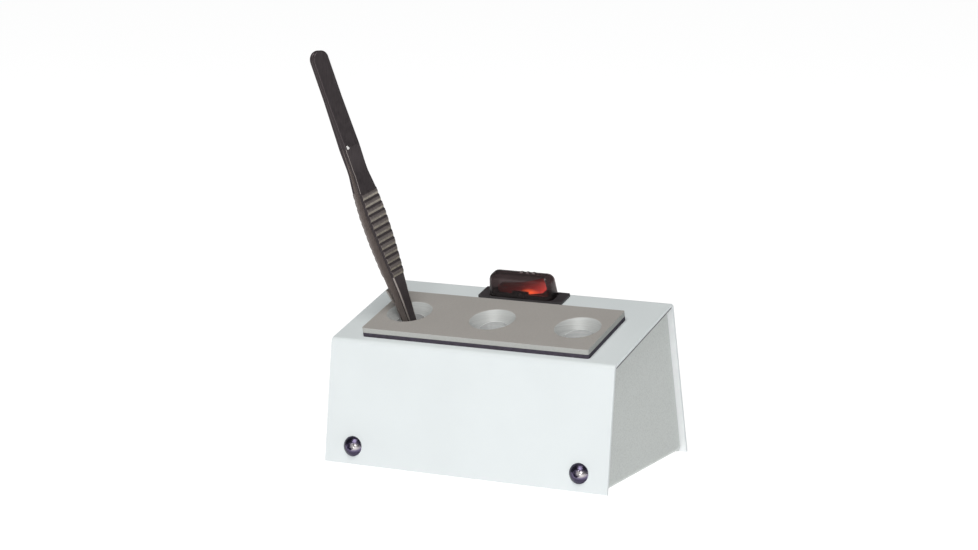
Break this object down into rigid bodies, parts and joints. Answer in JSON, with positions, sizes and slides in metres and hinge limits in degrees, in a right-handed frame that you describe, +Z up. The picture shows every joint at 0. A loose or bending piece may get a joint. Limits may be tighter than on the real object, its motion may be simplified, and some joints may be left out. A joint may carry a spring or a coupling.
{
  "type": "forceps warmer",
  "caption": "Tabletop forceps warmer: folded sheet case with a sloping deck, heated wells, a lit rocker switch under a clear boot, and serrated forceps standing in a well.",
  "frame": {"origin": "on the ground under the middle of the case's base", "axes": "+Z up, the front panel faces -Y, +X to the right seen from the front"},
  "size_m": [0.1431, 0.0977, 0.1884],
  "materials": {
    "cover_paint": "smooth satin off-white paint",
    "chassis_paint": "fine textured light grey paint",
    "plate_metal": "matte bead-blasted",
    "cup_metal": "turned, with faint rings",
    "bar_metal": "as sawn",
    "stainless": "polished",
    "dark_screw": "polished, blackened",
    "zinc_steel": "zinc plated",
    "brass": "plain",
    "gasket_rubber": "matte",
    "foot_rubber": "matte",
    "insulator": "matte",
    "black_plastic": "satin",
    "clear_boot": "smoky clear soft vinyl, glossy",
    "red_rocker": "translucent, lit from inside",
    "lamp_glass": "clear glass",
    "fuse_glass": "clear glass with metal ends",
    "phenolic": "matte",
    "brown_wire": "satin",
    "red_wire": "satin",
    "blue_wire": "satin",
    "green_wire": "satin",
    "forceps_steel": "satin dark steel"
  },
  "bodies": {
    "case": {"wrap_cover": "cover_paint", "chassis": "chassis_paint", "cover_screws": "dark_screw", "clinch_nuts": "zinc_steel", "rubber_feet": "foot_rubber", "well_plate": "plate_metal", "plate_gasket": "gasket_rubber", "well_cup_left": "cup_metal", "well_cup_centre": "cup_metal", "well_cup_right": "cup_metal", "insulating_washers": "insulator", "ring_nuts": "zinc_steel", "heater_bar": "bar_metal", "cartridge_heater": "stainless", "grub_screws": "zinc_steel", "thermostat": "phenolic", "cutoff_clip": "zinc_steel", "thermal_cutoff": "stainless", "bar_screws": "zinc_steel", "switch_bezel": "black_plastic", "switch_boot": "clear_boot", "switch_body": "black_plastic", "rocker_pin": "zinc_steel", "switch_terminals": "brass", "neon_lamp": "lamp_glass", "inlet": "black_plastic", "inlet_pins": "brass", "inlet_screws": "zinc_steel", "inlet_nuts": "zinc_steel", "earth_stud": "zinc_steel", "earth_nut": "brass", "earth_lug": "zinc_steel", "live_wire": "brown_wire", "switched_wire": "brown_wire", "limiter_wire": "red_wire", "heater_lead": "red_wire", "neutral_wire": "blue_wire", "earth_wire": "green_wire"},
    "rocker": {"rocker": "red_rocker"},
    "contact_lever": {"contact_lever": "brass"},
    "fuse_drawer": {"fuse_drawer": "black_plastic", "fuse": "fuse_glass"},
    "forceps": {"forceps_heel": "forceps_steel"},
    "forceps_left": {"forceps_arm_left": "forceps_steel"},
    "forceps_right": {"forceps_arm_right": "forceps_steel"}
  },
  "joints": [
    {"name": "rocker_tilt", "type": "hinge", "parent": "case", "child": "rocker", "pos_m": [-0.0006, 0.01761, 0.07511], "axis": [0, 0.9659, 0.2588], "range_deg": [0, 20]},
    {"name": "contact_tilt", "type": "hinge", "parent": "case", "child": "contact_lever", "pos_m": [-0.0006, 0.02004, 0.06603], "axis": [0, 0.9659, 0.2588], "range_deg": [-16, 0]},
    {"name": "fuse_drawer_slide", "type": "slide", "parent": "case", "child": "fuse_drawer", "axis": [0, 0.9659, 0.2588], "range_m": [0, 0.015]},
    {"name": "forceps_lift", "type": "slide", "parent": "case", "child": "forceps", "axis": [-0.2113, -0.253, 0.9441], "range_m": [0, 0.045]},
    {"name": "squeeze_right", "type": "hinge", "parent": "forceps", "child": "forceps_right", "pos_m": [-0.05986, -0.03687, 0.14518], "axis": [0.3503, 0.8822, 0.3148], "range_deg": [0, 0.45], "stiffness_Nm_per_rad": 4},
    {"name": "squeeze_left", "type": "hinge", "parent": "forceps", "child": "forceps_left", "pos_m": [-0.06232, -0.03579, 0.14492], "axis": [0.3503, 0.8822, 0.3148], "range_deg": [-0.45, 0], "stiffness_Nm_per_rad": 4}
  ],
  "couplings": [
    {"joint": "contact_tilt", "follows": "rocker_tilt", "ratio": -0.8},
    {"joint": "squeeze_left", "follows": "squeeze_right", "ratio": -1}
  ]
}
